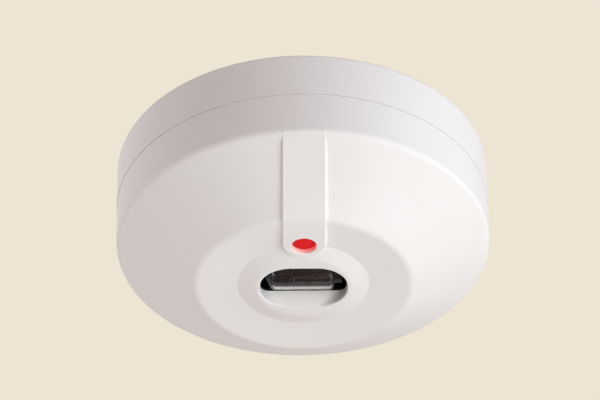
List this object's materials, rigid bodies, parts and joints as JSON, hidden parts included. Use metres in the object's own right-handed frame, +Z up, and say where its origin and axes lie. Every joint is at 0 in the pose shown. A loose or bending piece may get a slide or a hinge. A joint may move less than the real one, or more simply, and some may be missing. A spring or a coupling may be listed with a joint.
{
  "type": "flame detector",
  "caption": "Round ceiling-mounted ultraviolet flame detector with a conical cover, an oval sensor window and a red indicator in a raised strip.",
  "frame": {"origin": "centre of the mounting base's flat face, on the ceiling", "axes": "+Z up into the ceiling and out of the mounting face, -Y towards the indicator strip, +X to the right for someone who stands below, faces +Y and looks up"},
  "size_m": [0.1, 0.1, 0.0392],
  "materials": {
    "housing": "fine satin, moulded, warm white",
    "lens_red": "clear moulded, red",
    "lamp_epoxy": "diffuse red epoxy",
    "tube_clear": "clear quartz glass",
    "stem_glass": "dark pressed glass",
    "electrode_metal": "dark oxidised nickel",
    "lead_wire": "tinned wire",
    "holder_black": "fine matte, moulded",
    "board_laminate": "solder mask, satin",
    "screw_steel": "zinc plated",
    "sleeve_nylon": "natural nylon",
    "terminal_green": "moulded",
    "clamp_brass": "nickel-washed brass",
    "relay_case": "smooth moulded case",
    "film_case": "smooth moulded case",
    "ferrite": "sintered, matte",
    "winding_tape": "taped copper wire",
    "can_sleeve": "dark shrunk sleeve",
    "chip_resin": "moulded resin",
    "chip_tin": "tinned",
    "resistor_body": "glazed ceramic",
    "absorber_coat": "dipped epoxy",
    "header_black": "moulded",
    "pin_brass": "gold flashed",
    "cap_black": "moulded"
  },
  "bodies": {
    "root": {"mounting_base": "housing", "main_cover": "housing", "main_board": "board_laminate", "board_screws": "screw_steel", "tube_holder": "holder_black", "holder_screws": "screw_steel", "tube_glass": "tube_clear", "tube_stem": "stem_glass", "tube_leads": "lead_wire", "tube_cathode": "electrode_metal", "tube_anode": "electrode_metal", "indicator_lens": "lens_red", "indicator_lamp": "lamp_epoxy", "lamp_legs": "lead_wire", "lamp_sleeve": "sleeve_nylon", "terminal_block": "terminal_green", "terminal_screws": "screw_steel", "terminal_clamps": "clamp_brass", "alarm_relay": "relay_case", "film_capacitor": "film_case", "converter_core": "ferrite", "converter_winding": "winding_tape", "electrolytic_capacitors": "can_sleeve", "controller_chip": "chip_resin", "chip_legs": "chip_tin", "chip_resistors": "resistor_body", "surge_absorber": "absorber_coat", "jumper_header": "header_black", "jumper_cap": "cap_black", "jumper_pins": "pin_brass"}
  },
  "joints": []
}
